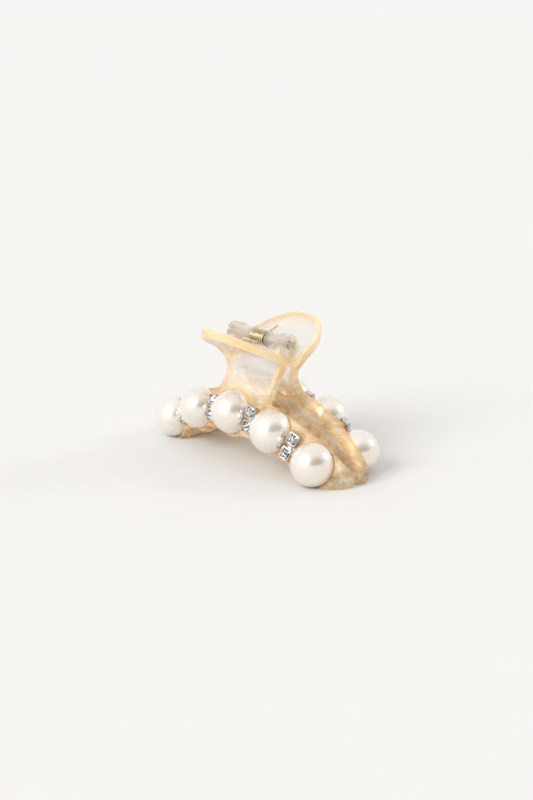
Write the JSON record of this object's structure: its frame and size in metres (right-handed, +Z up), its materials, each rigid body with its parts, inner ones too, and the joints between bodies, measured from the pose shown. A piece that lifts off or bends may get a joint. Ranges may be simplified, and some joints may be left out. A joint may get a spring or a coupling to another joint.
{
  "type": "hair claw clip",
  "caption": "Spring-loaded hair claw clip: two toothed clear acrylic jaws hinged on a pin, each faced with an arc of pearls and crystal strips.",
  "frame": {"origin": "middle of the closed clip's footprint, on the table it stands on", "axes": "+X along the hinge pin and the clip's length, -Y towards the front jaw, +Z up towards the thumb tabs"},
  "size_m": [0.0786, 0.0346, 0.0386],
  "materials": {
    "acrylic": "polished clear acrylic with a champagne tint",
    "pearl": "pearlescent satin gloss",
    "setting_metal": "bright silver plate",
    "crystal": "cut glass",
    "spring_wire": "bright drawn brass-plated wire",
    "pin_metal": "bright brass"
  },
  "bodies": {
    "front": {"front_jaw": "acrylic", "front_pearl_1": "pearl", "front_pearl_2": "pearl", "front_pearl_3": "pearl", "front_pearl_4": "pearl", "front_pearl_5": "pearl", "front_crystal_setting_1": "setting_metal", "front_crystals_1": "crystal", "front_crystal_setting_2": "setting_metal", "front_crystals_2": "crystal", "front_crystal_setting_3": "setting_metal", "front_crystals_3": "crystal", "front_crystal_setting_4": "setting_metal", "front_crystals_4": "crystal", "hinge_pin": "pin_metal", "torsion_spring": "spring_wire"},
    "back": {"back_jaw": "acrylic", "back_pearl_1": "pearl", "back_pearl_2": "pearl", "back_pearl_3": "pearl", "back_pearl_4": "pearl", "back_pearl_5": "pearl", "back_crystal_setting_1": "setting_metal", "back_crystals_1": "crystal", "back_crystal_setting_2": "setting_metal", "back_crystals_2": "crystal", "back_crystal_setting_3": "setting_metal", "back_crystals_3": "crystal", "back_crystal_setting_4": "setting_metal", "back_crystals_4": "crystal"}
  },
  "joints": [
    {"name": "jaw_hinge", "type": "hinge", "parent": "front", "child": "back", "pos_m": [0, 0, 0.034], "axis": [1, 0, 0], "range_deg": [0, 75], "stiffness_Nm_per_rad": 0.03, "springref_deg": -57.3, "deforming": ["torsion_spring"]}
  ]
}
